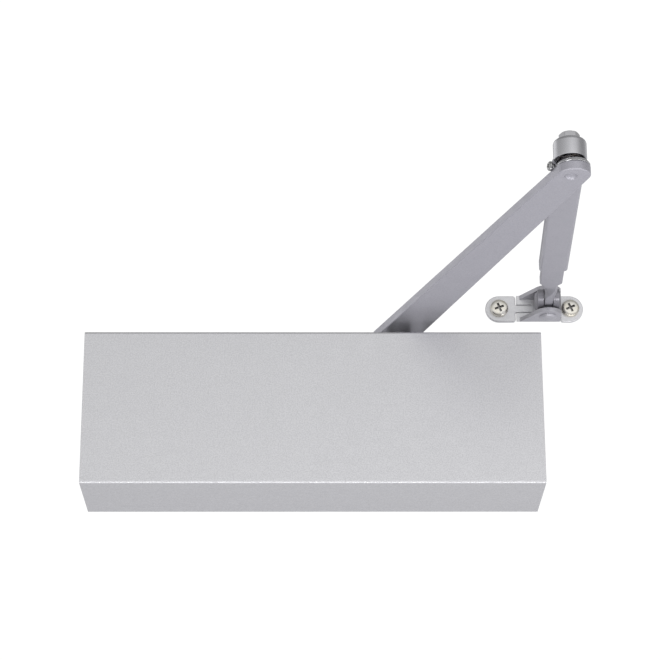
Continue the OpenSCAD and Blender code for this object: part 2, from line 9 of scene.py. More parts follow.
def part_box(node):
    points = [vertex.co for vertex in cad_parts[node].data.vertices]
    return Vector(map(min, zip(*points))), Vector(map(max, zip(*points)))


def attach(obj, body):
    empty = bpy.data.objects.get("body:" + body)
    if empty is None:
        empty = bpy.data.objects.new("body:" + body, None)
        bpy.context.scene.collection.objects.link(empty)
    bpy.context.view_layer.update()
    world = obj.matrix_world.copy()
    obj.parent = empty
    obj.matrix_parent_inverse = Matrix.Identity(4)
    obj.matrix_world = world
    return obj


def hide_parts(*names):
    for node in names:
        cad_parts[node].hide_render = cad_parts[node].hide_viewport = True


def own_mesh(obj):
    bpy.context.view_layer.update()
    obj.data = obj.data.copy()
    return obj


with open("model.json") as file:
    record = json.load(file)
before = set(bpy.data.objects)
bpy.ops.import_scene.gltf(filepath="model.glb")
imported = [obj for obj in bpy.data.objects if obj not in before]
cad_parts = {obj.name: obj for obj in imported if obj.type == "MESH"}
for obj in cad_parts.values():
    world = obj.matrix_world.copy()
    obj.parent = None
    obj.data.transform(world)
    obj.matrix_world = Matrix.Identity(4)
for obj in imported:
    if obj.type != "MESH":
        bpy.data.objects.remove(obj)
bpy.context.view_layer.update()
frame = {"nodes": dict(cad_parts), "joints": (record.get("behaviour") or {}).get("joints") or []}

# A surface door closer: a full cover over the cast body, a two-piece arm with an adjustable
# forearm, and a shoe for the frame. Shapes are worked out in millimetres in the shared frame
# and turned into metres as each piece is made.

MM = 0.001

# ---------------------------------------------------------------- places from the frame

JOINTS = {joint["name"]: joint for joint in frame["joints"]}


def joint_place(name):
    return Vector(JOINTS[name]["pos_m"]) / MM


def extent(node):
    """Lowest and highest corner of a CAD node, in millimetres."""
    low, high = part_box(node)
    return low / MM, high / MM


def apart(first, second):
    """How far apart two places are, seen from above."""
    return (first - second).to_2d().length


def shift(x=0.0, y=0.0, z=0.0):
    return Matrix.Translation((x, y, z))


def spin(degrees, axis):
    return Matrix.Rotation(math.radians(degrees), 4, axis)


def frame_at(origin, x_axis):
    """A placing matrix with its X along x_axis and its Z as near upright as it can be."""
    x = Vector(x_axis).normalized()
    y = Vector((0, 0, 1)).cross(x).normalized()
    turn = Matrix((x, y, x.cross(y))).transposed().to_4x4()
    return Matrix.Translation(origin) @ turn


SPINDLE = joint_place("main_arm_swing")
ELBOW = joint_place("elbow_fold")
PIVOT = joint_place("shoe_pivot")
CROSS = joint_place("knuckle_tilt")
ALONG = Vector(JOINTS["forearm_extend"]["axis"]).normalized()
COVER_LOW, COVER_HIGH = extent("cover")
ARM_LOW, ARM_HIGH = extent("main_arm")
SHOE_LOW, SHOE_HIGH = extent("shoe_bracket")
SCREW_Y = sum(corner.y for corner in extent("cover_screws")) / 2

ARM_LENGTH = apart(SPINDLE, ELBOW)
FORE_LENGTH = apart(CROSS, ELBOW) / ALONG.to_2d().length
CROSS_BACK = apart(CROSS, PIVOT)

FOREARM = frame_at(CROSS - ALONG * FORE_LENGTH, ALONG)
KNUCKLE = frame_at(PIVOT, (ALONG.x, ALONG.y, 0))
ARM = frame_at((ELBOW.x, ELBOW.y, 0), (SPINDLE.x - ELBOW.x, SPINDLE.y - ELBOW.y, 0))
AT_ELBOW = shift(ELBOW.x, ELBOW.y)
AT_SPINDLE = shift(SPINDLE.x, SPINDLE.y)
AT_PIVOT = shift(*PIVOT)
AT_LEFT_WALL = shift(COVER_LOW.x, SCREW_Y) @ spin(-90, "Y")
AT_RIGHT_WALL = shift(COVER_HIGH.x, SCREW_Y) @ spin(90, "Y")

TO_FRONT = spin(90, "X")  # turns +Z into -Y
TO_BACK = spin(-90, "X")  # turns +Z into +Y
ALONG_X = Matrix(((0, 0, 1, 0), (1, 0, 0, 0), (0, 1, 0, 0), (0, 0, 0, 1)))  # X, Y, Z into Y, Z, X
SWAP_X_Z = Matrix(((0, 0, 1, 0), (0, 1, 0, 0), (1, 0, 0, 0), (0, 0, 0, 1)))

# ---------------------------------------------------------------- outlines and meshes

CORNERS = ((-1, -1), (1, -1), (1, 1), (-1, 1))


def arc(centre, radius, start, end, steps):
    """Points along a stretch of a circle, from one angle to another in radians."""
    angles = (start + (end - start) * k / steps for k in range(steps + 1))
    return [Vector((centre[0] + radius * math.cos(a), centre[1] + radius * math.sin(a))) for a in angles]


def circle(radius, count):
    return arc((0, 0), radius, 0, 2 * math.pi, count)[:count]


def smooth_corners(points, steps=6):
    """Points (x, y) or (x, y, radius) as a closed outline with its corners rounded."""
    out, count = [], len(points)
    for i, point in enumerate(points):
        here = Vector(point[:2])
        radius = point[2] if len(point) > 2 else 0
        if radius <= 0:
            out.append(here)
            continue
        before = (Vector(points[i - 1][:2]) - here).normalized()
        after = (Vector(points[(i + 1) % count][:2]) - here).normalized()
        half = before.angle(after) / 2
        centre = here + (before + after).normalized() * radius / math.sin(half)
        first = here + before * radius / math.tan(half) - centre
        last = here + after * radius / math.tan(half) - centre
        start = math.atan2(first.y, first.x)
        sweep = (math.atan2(last.y, last.x) - start + math.pi) % (2 * math.pi) - math.pi
        for k in range(steps + 1):
            a = start + sweep * k / steps
            out.append(centre + radius * Vector((math.cos(a), math.sin(a))))
    return out


def rounded_oblong(width, height, radius, steps):
    return smooth_corners([(sx * width / 2, sy * height / 2, radius) for sx, sy in CORNERS], steps)


def skin(rows, looped=False, capped=False):
    """Faces over rows of points, where each row is a ring or a single point."""
    bm = bmesh.new()
    rows = [[bm.verts.new(point) for point in row] for row in rows]
    if capped:
        bm.faces.new(rows[0][::-1])
        bm.faces.new(rows[-1])
    for a, b in zip(rows, rows[1:] + rows[:1] if looped else rows[1:]):
        count = max(len(a), len(b))
        for k in range(count):
            n = (k + 1) % count
            around = (a[k % len(a)], a[n % len(a)], b[n % len(b)], b[k % len(b)])
            corners = list(dict.fromkeys(around))
            if len(corners) > 2:
                bm.faces.new(corners)
    bmesh.ops.recalc_face_normals(bm, faces=bm.faces)
    return bm


def prism(outline, low, high):
    """An outline in X and Y raised from low to high in Z."""
    return skin([[(p[0], p[1], z) for p in outline] for z in (low, high)], capped=True)


def block(low, high):
    """A box from one corner to the other."""
    outline = [(low[0], low[1]), (high[0], low[1]), (high[0], high[1]), (low[0], high[1])]
    return prism(outline, low[2], high[2])


def lathe(profile, count=96, ring=False):
    """A profile of (radius, height) turned about Z. A ring's profile is closed."""
    rows = [
        [(x, y, height) for x, y in circle(radius, count)] if radius else [(0, 0, height)]
        for radius, height in profile
    ]
    return skin(rows, looped=ring)


def rod(radius, low, high, count=64):
    return lathe([(0, low), (radius, low), (radius, high), (0, high)], count)


def moved(bm, matrix):
    bm.transform(matrix)
    return bm


def together(first, *others):
    """Separate shells kept in one mesh."""
    for other in others:
        mesh = bpy.data.meshes.new("shell")
        other.to_mesh(mesh)
        first.from_mesh(mesh)
        bpy.data.meshes.remove(mesh)
        other.free()
    return first


def scene_object(bm, name):
    """Puts a mesh into the scene as an object."""
    mesh = bpy.data.meshes.new(name)
    bm.to_mesh(mesh)
    obj = bpy.data.objects.new(name, mesh)
    bpy.context.scene.collection.objects.link(obj)
    return obj


def through_modifier(bm, kind, **values):
    """The mesh after one modifier."""
    obj = scene_object(bm, "scratch")
    modifier = obj.modifiers.new(kind, kind)
    for key, value in values.items():
        setattr(modifier, key, value)
    result = obj.evaluated_get(bpy.context.evaluated_depsgraph_get()).to_mesh()
    out = bmesh.new()
    out.from_mesh(result)
    bpy.data.objects.remove(obj)
    bm.free()
    return out


def combine(first, operation, *rest):
    """first joined with, cut by or met with each of the rest in turn."""
    for other in rest:
        cutter = scene_object(other, "cutter")
        first = through_modifier(first, "BOOLEAN", operation=operation, solver="EXACT", object=cutter)
        bpy.data.objects.remove(cutter)
        other.free()
    return first


def cut(bm, *others):
    return combine(bm, "DIFFERENCE", *others)


def join(bm, *others):
    return combine(bm, "UNION", *others)


def meet(bm, *others):
    return combine(bm, "INTERSECT", *others)


def tidied(bm):
    """Doubled points merged and flat neighbours joined."""
    doubled, flat = 0.002, math.radians(0.4)
    bmesh.ops.remove_doubles(bm, verts=bm.verts, dist=doubled)
    bmesh.ops.dissolve_limit(bm, angle_limit=flat, verts=bm.verts, edges=bm.edges)
    return bm


def eased(bm, width, segments=2, angle=32):
    """Every edge sharper than the angle rounded over."""
    limit = math.radians(angle)
    edges = [e for e in bm.edges if len(e.link_faces) == 2 and e.calc_face_angle(0) > limit]
    bmesh.ops.bevel(
        bm, geom=edges, offset=width, offset_type="OFFSET", segments=segments, profile=0.5,
        affect="EDGES", clamp_overlap=True, loop_slide=True, miter_outer="ARC",
    )
    return bm


def node_mesh(node):
    """A copy of a CAD node's mesh in millimetres."""
    bm = bmesh.new()
    bm.from_mesh(frame["nodes"][node].data)
    return tidied(moved(bm, Matrix.Scale(1 / MM, 4)))


def piece(name, bm, body, finish, nodes, angle=34):
    """Puts a mesh into the scene as a piece that rides on a body and stands for CAD nodes."""
    bmesh.ops.recalc_face_normals(bm, faces=bm.faces)
    bm.transform(Matrix.Scale(MM, 4))
    limit = math.radians(angle)
    for face in bm.faces:
        face.smooth = True
    for edge in bm.edges:
        edge.smooth = len(edge.link_faces) != 2 or edge.calc_face_angle(0) < limit
    bm = through_modifier(bm, "WEIGHTED_NORMAL", keep_sharp=True, weight=60)
    obj = scene_object(bm, name)
    bm.free()
    for material in finish if isinstance(finish, tuple) else (finish,):
        obj.data.materials.append(material)
    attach(obj, body)
    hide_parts(*nodes)
    return obj


# ---------------------------------------------------------------- finishes


class Nodes:
    """A node tree with short ways to add to it."""

    def __init__(self, tree):
        self.tree = tree

    def put(self, value, socket):
        """Links a socket to a value that is a socket too, or else sets it."""
        if isinstance(value, bpy.types.NodeSocket):
            self.tree.links.new(value, socket)
        else:
            socket.default_value = value

    def add(self, kind, **inputs):
        node = self.tree.nodes.new(kind)
        for key, value in inputs.items():
            self.put(value, node.inputs[key.replace("_", " ")])
        return node

    def compute(self, kind, operation, *values):
        """A maths node, plain or vector, that works on the values."""
        node = self.add(kind)
        node.operation = operation
        for value, socket in zip(values, node.inputs):
            self.put(value, socket)
        return node

    def sum_of(self, operation, *values):
        return self.compute("ShaderNodeMath", operation, *values).outputs[0]

    def spread(self, value, low, high, start=0.3, end=0.7):
        """The value's stretch from start to end, drawn out from low to high."""
        ends = {"From_Min": start, "From_Max": end, "To_Min": low, "To_Max": high}
        return self.add("ShaderNodeMapRange", Value=value, **ends).outputs["Result"]


class Finish(Nodes):
    """A procedural material. Constants go straight on the shader's own sockets."""

    def __init__(self, name, colour, metallic, roughness, **constants):
        self.material = bpy.data.materials.new(name)
        self.material.use_nodes = True
        super().__init__(self.material.node_tree)
        self.shader = next(n for n in self.tree.nodes if n.type == "BSDF_PRINCIPLED")
        constants.update(Base_Color=(*colour, 1), Metallic=metallic, Roughness=roughness)
        for key, value in constants.items():
            self.put(value, self.shader.inputs[key.replace("_", " ")])
        self.where = self.add("ShaderNodeTexCoord").outputs["Object"]

    def stretched(self, scale):
        return self.add("ShaderNodeMapping", Vector=self.where, Scale=scale).outputs["Vector"]

    def noise(self, scale, detail=2.0, roughness=0.5, where=None):
        """Noise whose scale is in features per metre."""
        node = self.add(
            "ShaderNodeTexNoise", Vector=where or self.where, Scale=scale, Detail=detail, Roughness=roughness,
        )
        return node.outputs[0]

    def colour(self, factor, first, second):
        """Sets the colour to run from the first to the second, and returns it."""
        node = self.add("ShaderNodeMix")
        node.data_type = "RGBA"
        sockets = {s.identifier: s for s in node.inputs}
        self.put(factor, sockets["Factor_Float"])
        for colour, key in ((first, "A_Color"), (second, "B_Color")):
            self.put(colour if isinstance(colour, bpy.types.NodeSocket) else (*colour, 1), sockets[key])
        result = next(s for s in node.outputs if s.identifier == "Result_Color")
        self.put(result, self.shader.inputs["Base Color"])
        return result

    def gloss(self, pattern, low, high):
        self.put(self.spread(pattern, low, high), self.shader.inputs["Roughness"])

    def bump(self, *layers):
        """Layers of (height, depth in metres), one on the other."""
        normal = None
        for height, depth in layers:
            node = self.add("ShaderNodeBump", Height=height, Distance=depth, Strength=1.0)
            if normal:
                self.put(normal, node.inputs["Normal"])
            normal = node.outputs["Normal"]
        self.put(normal, self.shader.inputs["Normal"])

    def about(self, axis, centre):
        """Texture places that keep the same value right round an axis: (radius, along, 0) in metres."""
        shifted = self.compute("ShaderNodeVectorMath", "SUBTRACT", self.where, Vector(centre) * MM)
        parts = self.add("ShaderNodeSeparateXYZ", Vector=shifted.outputs[0]).outputs
        across = [parts[k] for k in range(3) if k != axis]
        squares = [self.sum_of("MULTIPLY", s, s) for s in across]
        radius = self.sum_of("SQRT", self.sum_of("ADD", *squares), 0.0)
        return self.add("ShaderNodeCombineXYZ", X=radius, Y=parts[axis]).outputs["Vector"]


def enamel(name, light, dark, metallic, roughness, grain=2600.0):
    """Satin metallic enamel: fine flake, a little orange peel, and slow drifts in tone."""
    peel_depth, flake_depth = 0.00002, 0.000012
    coat = {"Coat_Weight": 0.06, "Coat_Roughness": 0.35}
    f = Finish(name, light, metallic, roughness, Specular_IOR_Level=0.5, **coat)
    flake = f.noise(grain, 1.0, 0.6)
    mottled = f.colour(f.spread(flake, 0.0, 1.0, 0.34, 0.66), dark, light)
    f.colour(f.spread(f.noise(14.0, 3.0, 0.6), 0.0, 0.12), mottled, dark)
    f.gloss(f.noise(90.0, 4.0, 0.65, f.stretched((1.0, 1.0, 3.0))), roughness - 0.05, roughness + 0.07)
    f.bump((f.noise(420.0), peel_depth), (flake, flake_depth))
    return f.material


def turned(name, colour, roughness, axis, centre):
    """Metal off the lathe: fine rings about the axis, with a little wear."""
    ring_tint, ring_depth, wear_depth = 0.86, 0.000006, 0.000004
    f = Finish(name, colour, 1.0, roughness)
    rings = f.noise(5200.0, 2.0, 0.7, f.about(axis, centre))
    f.colour(f.spread(rings, 0.0, 1.0), tuple(c * ring_tint for c in colour), colour)
    f.gloss(f.noise(160.0, 4.0, 0.6), roughness - 0.05, roughness + 0.1)
    f.bump((rings, ring_depth), (f.noise(900.0), wear_depth))
    return f.material


def plated(name, colour, second, roughness, scale=240.0):
    """Plated steel: clouds of a second tint, fine grain and small handling marks."""
    mark_depth = 0.000008
    f = Finish(name, colour, 1.0, roughness)
    marks = f.noise(1500.0, 3.0, 0.7, f.stretched((1.0, 0.25, 1.0)))
    f.colour(f.spread(f.noise(scale, 3.0, 0.6), 0.0, 1.0, 0.35, 0.7), colour, second)
    f.gloss(marks, roughness - 0.06, roughness + 0.1)
    f.bump((marks, mark_depth))
    return f.material


def cast(name, colour, dark, roughness):
    """A painted casting: sand grain under a thin coat."""
    sand_depth, coat_depth = 0.00016, 0.00004
    f = Finish(name, colour, 0.25, roughness)
    grain = f.noise(650.0, 5.0, 0.65)
    f.colour(f.spread(f.noise(60.0, 4.0, 0.6), 0.0, 1.0), colour, dark)
    f.gloss(grain, roughness - 0.08, roughness + 0.1)
    f.bump((grain, sand_depth), (f.noise(2600.0, 2.0, 0.6), coat_depth))
    return f.material


def moulded(name, colour, roughness, depth):
    """Rubber or plastic with a fine moulded grain."""
    f = Finish(name, colour, 0.0, roughness, Specular_IOR_Level=0.45)
    grain = f.noise(1900.0, 3.0, 0.6)
    pale = tuple(c * 1.7 + 0.01 for c in colour)
    f.colour(f.spread(f.noise(120.0, 3.0, 0.6), 0.0, 0.5, 0.3, 0.75), colour, pale)
    f.gloss(grain, roughness - 0.07, roughness + 0.08)
    f.bump((grain, depth))
    return f.material


COVER_PAINT = enamel("cover_enamel", (0.70, 0.70, 0.71), (0.58, 0.58, 0.59), 0.7, 0.36, 1250.0)
ARM_PAINT = enamel("arm_enamel", (0.495, 0.49, 0.53), (0.385, 0.38, 0.42), 0.62, 0.41)
SHOE_PAINT = enamel("shoe_enamel", (0.78, 0.78, 0.79), (0.68, 0.68, 0.69), 0.6, 0.36)
# a darker copy of the shoe's enamel: painted shade on the ears' undersides and on the pivot pin
SHADED_EAR_PAINT = enamel("ear_enamel_painted_shade", (0.56, 0.555, 0.59), (0.46, 0.455, 0.49), 0.6, 0.38)
KNUCKLE_PAINT = enamel("knuckle_enamel", (0.36, 0.355, 0.385), (0.26, 0.255, 0.28), 0.75, 0.34)
ELBOW_METAL = turned("elbow_turned", (0.70, 0.70, 0.72), 0.24, 2, ELBOW)
COLLAR_METAL = turned("collar_turned", (0.72, 0.72, 0.73), 0.2, 2, ELBOW)
HEX_METAL = turned("hex_turned", (0.56, 0.56, 0.57), 0.2, 2, ELBOW)
PIN_METAL = turned("pin_turned", (0.55, 0.55, 0.56), 0.3, 1, CROSS)
SPINDLE_METAL = turned("spindle_turned", (0.58, 0.58, 0.58), 0.28, 2, SPINDLE)
BORE_METAL = turned("bore_machined", (0.50, 0.50, 0.51), 0.36, 0, SPINDLE)
BRASS = turned("brass_turned", (0.72, 0.52, 0.24), 0.3, 2, SPINDLE)
ZINC = plated("zinc_bright", (0.90, 0.88, 0.82), (0.80, 0.76, 0.64), 0.2)
DULL_ZINC = plated("zinc_dull", (0.50, 0.50, 0.50), (0.38, 0.38, 0.37), 0.22)
ZINC_SHEET = plated("zinc_sheet", (0.62, 0.62, 0.60), (0.50, 0.50, 0.46), 0.36, 90.0)
BLUED = plated("spring_steel", (0.13, 0.13, 0.15), (0.20, 0.17, 0.14), 0.32, 120.0)
DARK_SCREW = plated("black_oxide", (0.09, 0.09, 0.10), (0.13, 0.12, 0.11), 0.34, 200.0)
# a darker metal for the faces inside screw recesses: painted shade
PAINTED_RECESS_SHADE = plated("driver_recess_painted_shade", (0.42, 0.41, 0.39), (0.24, 0.235, 0.225), 0.42, 900.0)
CASTING = cast("body_casting", (0.12, 0.125, 0.13), (0.085, 0.09, 0.095), 0.62)
RUBBER = moulded("seal_rubber", (0.012, 0.012, 0.013), 0.7, 0.00003)
PLASTIC = moulded("cap_plastic", (0.020, 0.020, 0.023), 0.48, 0.00002)
# in these pairs the second material darkens the driver recess: painted shade, black oxide on the dull screw
BRIGHT_SCREW = (ZINC, PAINTED_RECESS_SHADE)  # the screw itself, then its driver recess
DULL_SCREW = (DULL_ZINC, DARK_SCREW)

# ---------------------------------------------------------------- screws

# a pan head from its rim to its top, in shares of its radius and height
PAN_HEAD = [
    (0.97, 0), (1.0, 0.06), (1.0, 0.42), (0.985, 0.56), (0.94, 0.7), (0.87, 0.82), (0.77, 0.91),
    (0.62, 0.965), (0.4, 0.99), (0.0, 1.0),
]


def cross_recess(length, width, depth, top):
    """The two wings of the tapered cross that a driver goes into, down from top."""
    mouth = (length * 0.5, width * 0.5, top + 0.3)
    foot = (length * 0.36, width * 0.34, top - depth)
    rows = [[(sx * x, sy * y, z) for sx, sy in CORNERS] for x, y, z in (mouth, foot)]
    return [moved(skin(rows, capped=True), spin(turn, "Z")) for turn in (0, 90)]


def pan_screw(head, height, shank, length, turn, neck=0.0):
    """A pan-head screw along Z: its head stands above 0 and its shank hangs below.

    One with a neck is a wood screw: thinner as far down as its neck, and pointed.
    """
    if neck:
        thin = shank * 0.93
        low = [
            (0, -length), (shank * 0.35, -length + shank), (shank * 0.8, -length + 3 * shank),
            (shank, -neck - 0.4), (thin, -neck), (thin, 0),
        ]
    else:
        low = [(0, -length), (shank * 0.75, -length), (shank, -length + shank * 0.3), (shank, 0)]
    bm = lathe(low + [(head * r, height * z) for r, z in PAN_HEAD], 64)
    wing, width, depth = head * 1.12, head * 0.27, height * 0.6
    bm = tidied(cut(bm, *cross_recess(wing, width, depth, height)))
    # faces inside the cross recess take the second, darker material, which paints shade there
    for face in bm.faces:
        middle = face.calc_center_median()
        inside = middle.xy.length < wing / 2 and 0 < middle.z < height * 0.93
        face.material_index = 1 if inside else 0
    return moved(bm, Matrix.Rotation(turn, 4, "Z"))


def threads(shank, low, high, pitch, depth):
    """A screw's thread as a separate wound ridge that fades out at its ends."""
    turns = (high - low) / pitch
    steps = int(turns * 28)
    root, half = shank - 0.15, pitch * 0.36
    rows = []
    for i in range(steps + 1):
        share = i / steps
        fade = min(1.0, share * turns * 1.3, (1 - share) * turns * 1.3)
        a, z = 2 * math.pi * turns * share, low + (high - low) * share
        ridge = ((root, -half), (shank + depth * fade, 0.0), (root, half))
        rows.append([(r * math.cos(a), r * math.sin(a), z + dz) for r, dz in ridge])
    return skin(rows, capped=True)


def hexagon(radius, low, high, top_radius):
    """A hex head with its top corners turned off in a cone."""
    slope = math.tan(math.radians(30))
    drop = (radius + 0.4 - top_radius) * slope
    wide = radius + 0.6
    cone = lathe([(0, low - 1), (wide, low - 1), (wide, high - drop), (top_radius, high), (0, high)])
    return eased(tidied(meet(prism(circle(radius, 6), low, high), cone)), 0.22, 2, 28)


# ---------------------------------------------------------------- cover and its brackets

BRACKET_SCREW_X = 130.0


def make_cover():
    sheet, bend, slot_r, screw_r = 1.6, 1.9, 18.0, 2.2
    past = 6.0  # how far the slot's cutter stands past the sheet

    def shell(inset, back):
        """The bent cover as a solid, seen from its end in Y and Z."""
        front, top = COVER_LOW.y + inset, COVER_HIGH.z - inset
        radius = bend - inset * 0.8
        end = smooth_corners([(front, -top, radius), (back, -top), (back, top), (front, top, radius)], 8)
        return moved(prism(end, COVER_LOW.x + inset, COVER_HIGH.x - inset), ALONG_X)

    slot = arc(SPINDLE, slot_r, math.pi, 2 * math.pi, 48)
    slot += [(SPINDLE.x + slot_r, past), (SPINDLE.x - slot_r, past)]
    holes = [moved(rod(screw_r, -4, 4, 32), wall) for wall in (AT_LEFT_WALL, AT_RIGHT_WALL)]
    bm = cut(
        shell(0, COVER_HIGH.y), shell(sheet, COVER_HIGH.y + 1),
        prism(slot, COVER_HIGH.z - past, COVER_HIGH.z + past), *holes,
    )
    piece("cover_shell", eased(tidied(bm), 0.28, 2, 42), "closer", COVER_PAINT, ["cover"])


def make_cover_screws():
    both = together(*[
        moved(pan_screw(3.6, 2.2, 2.0, 7, turn), wall)
        for wall, turn in ((AT_LEFT_WALL, 0.5), (AT_RIGHT_WALL, 1.1))
    ])
    piece("cover_screw_pair", both, "closer", BRIGHT_SCREW, ["cover_screws"])


def make_bracket(name, side):
    """A bracket bent from sheet: a foot on the body and a wing against the cover's end wall."""
    low, high = extent(name)
    sheet, screw_r, tapped_r = 2.0, 2.6, 2.05
    inner, outer = (low.x, high.x) if side > 0 else (high.x, low.x)
    foot, wing = high.y - sheet, outer - side * sheet
    profile = smooth_corners([
        (inner, high.y), (inner, foot), (wing, foot, 1.0), (wing, low.y), (outer, low.y),
        (outer, high.y, 2.8),
    ])
    bm = cut(
        prism(profile, low.z, high.z),
        moved(rod(screw_r, -9, 9, 40), shift(side * BRACKET_SCREW_X, high.y) @ TO_FRONT),
        moved(rod(tapped_r, -6, 6, 32), shift(outer, SCREW_Y) @ spin(90, "Y")),
    )
    bm = eased(tidied(bm), 0.25, 2, 42)
    piece(name + "_sheet", bm, "closer", ZINC_SHEET, [name])


def make_brackets():
    make_bracket("left_bracket", -1)
    make_bracket("right_bracket", 1)
    head_height = 2.6
    seat = extent("bracket_screws")[0].y + head_height
    both = together(*[
        moved(pan_screw(4.2, head_height, 2.5, 8, turn), shift(side * BRACKET_SCREW_X, seat) @ TO_FRONT)
        for side, turn in ((-1, 0.3), (1, 0.9))
    ])
    piece("bracket_screw_pair", both, "closer", BRIGHT_SCREW, ["bracket_screws"])


# ---------------------------------------------------------------- main arm and elbow

# the middle of the arm's round end, off the elbow's axis in the arm's own frame
ARM_END = Vector((-1.0, -1.3))
ELBOW_BORE = 6.05  # the hole in the collar and the barrel, round the stud
BAR_W, BAR_T = 15.5, 6.0


def make_main_arm():
    r_elbow, r_spindle, tail = 10.2, 14.2, 12.0
    square_half, stud_r = 6.05, 4.0
    low, high = ARM_LOW.z, ARM_HIGH.z
    far = Vector((ARM_LENGTH + tail, 0))
    way = far - ARM_END
    across = math.atan2(way.y, way.x) + math.pi / 2
    lean = math.asin((r_spindle - r_elbow) / way.length)
    outline = arc(ARM_END, r_elbow, across + lean, across + math.pi - lean, 40)
    outline += arc(far, r_spindle, across - math.pi - lean, across + lean, 40)
    bm = eased(prism(outline, low, high), 0.75, 4, 50)
    square = prism([(square_half * x, square_half * y) for x, y in CORNERS], low - 1, high + 1)
    square = moved(square, shift(ARM_LENGTH) @ Matrix.Rotation(-ARM.to_euler().z, 4, "Z"))
    bm = tidied(cut(bm, square, rod(stud_r, low - 1, high + 1, 72)))
    bm = moved(eased(bm, 0.35, 2, 50), ARM)
    piece("main_arm_bar", bm, "arm", ARM_PAINT, ["main_arm"])


def make_elbow_stud():
    low, high = extent("elbow_stud")
    stud_r, screw_r, screw_depth = 6.0, 3.6, 11.9
    # the riveted foot with its dimple, as (radius, height above the foot)
    rivet = [(0, 1.3), (1.8, 1.25), (2.7, 1.05), (3.3, 0.6), (3.6, 0.1), (3.7, 0), (3.82, 0.04), (3.96, 0.3)]
    profile = [(r, low.z + z) for r, z in rivet] + [
        (3.98, ARM_HIGH.z), (stud_r, ARM_HIGH.z), (stud_r, high.z - 0.5), (stud_r - 0.5, high.z),
        (screw_r, high.z), (screw_r, high.z - screw_depth), (0, high.z - screw_depth),
    ]
    stud = moved(lathe(profile), AT_ELBOW)
    piece("elbow_stud_riveted", stud, "arm", ARM_PAINT, ["elbow_stud"])


def make_elbow_collar():
    base, cone_top, lug_top = ARM_HIGH.z, ARM_HIGH.z + 3.0, extent("elbow_collar")[1].z
    foot = base + 0.02
    boss = lathe([
        (0, foot), (9.9, foot), (10.15, base + 0.25), (10.1, base + 0.9), (9.0, cone_top - 0.5),
        (8.45, cone_top - 0.1), (8.1, cone_top), (0, cone_top),
    ], 120)
    lug_x, lug_half, lug_in, lug_out = 6.9, 2.4, 4.0, 9.2
    lug = eased(block((lug_x - lug_half, lug_in, foot), (lug_x + lug_half, lug_out, lug_top)), 0.35, 2)
    # the notch is drawn from the arm's end, in Y and Z, and runs right across the lug
    notch = prism([(5.0, lug_top + 1), (8.3, lug_top + 1), (7.3, base + 0.5), (6.9, base + 0.5)], -6, 6)
    lock_screw_r, lock_head_r, lock_z = 1.15, 3.1, base + 2.3
    lock = shift(lug_x, 0, lock_z) @ TO_BACK
    bm = cut(
        join(moved(boss, shift(ARM_END.x, ARM_END.y)), lug),
        rod(ELBOW_BORE, base - 1, lug_top + 1, 72),
        moved(notch, shift(lug_x) @ ALONG_X),
        rod(10.6, cone_top, lug_top + 2, 96),
        moved(rod(lock_screw_r, 3, 14, 32), lock),
        moved(rod(lock_head_r, lug_out - 0.05, 16, 48), lock),
    )
    collar = moved(tidied(bm), ARM)
    piece("elbow_collar_split", collar, "arm", COLLAR_METAL, ["elbow_collar"])
    screw = moved(pan_screw(2.9, 2.2, 1.1, 2.5, 0.35), ARM @ shift(lug_x, lug_out, lock_z) @ TO_BACK)
    piece("elbow_lock_pan", screw, "arm", DULL_SCREW, ["elbow_lock_screw"])


def make_wave_washer():
    low, high = extent("wave_washer")
    inner, outer, sheet, waves, count = 6.3, 8.5, 0.35, 5, 120
    middle, reach = (low.z + high.z) / 2, (high.z - low.z - sheet) / 2
    rows = []
    for radius, side in ((inner, -0.5), (outer, -0.5), (outer, 0.5), (inner, 0.5)):
        rows.append([])
        for k in range(count):
            a = 2 * math.pi * k / count
            z = middle + reach * math.cos(waves * a) * radius / outer + side * sheet
            rows[-1].append((radius * math.cos(a), radius * math.sin(a), z))
    washer = moved(skin(rows, looped=True), AT_ELBOW)
    piece("wave_washer_sprung", washer, "forearm", BLUED, ["wave_washer"])


def make_elbow_barrel():
    low, high = extent("elbow_barrel")
    base, top, r = low.z, high.z, 10.0
    profile = [
        (ELBOW_BORE, base + 0.5), (6.5, base), (r - 0.8, base), (r - 0.25, base + 0.25), (r, base + 0.8),
        (r, top - 3.2), (r - 0.1, top - 2.7), (r - 0.4, top - 2.0), (r - 0.95, top - 1.4),
        (r - 1.8, top - 0.9), (r - 2.8, top - 0.55), (r - 3.05, top - 0.3), (r - 3.2, top - 0.05),
        (r - 3.5, top), (ELBOW_BORE, top),
    ]
    barrel = moved(lathe(profile, 120, ring=True), AT_ELBOW)
    tang = eased(block((2, -BAR_W / 2, -BAR_T / 2), (30, BAR_W / 2, BAR_T / 2)), 0.5, 2)
    bore = moved(rod(ELBOW_BORE, base - 1, top + 1, 96), AT_ELBOW)
    bm = tidied(cut(join(barrel, moved(tang, FOREARM)), bore))
    piece("elbow_barrel_turned", bm, "forearm", ELBOW_METAL, ["elbow_barrel"])


def make_elbow_screw():
    low, high = extent("elbow_screw")
    seat = extent("elbow_barrel")[1].z + 0.1
    bm = together(hexagon(6.4, seat, high.z, 4.9), rod(3.5, low.z, seat + 0.1, 48))
    piece("elbow_hex_screw", moved(bm, AT_ELBOW), "arm", HEX_METAL, ["elbow_screw"])


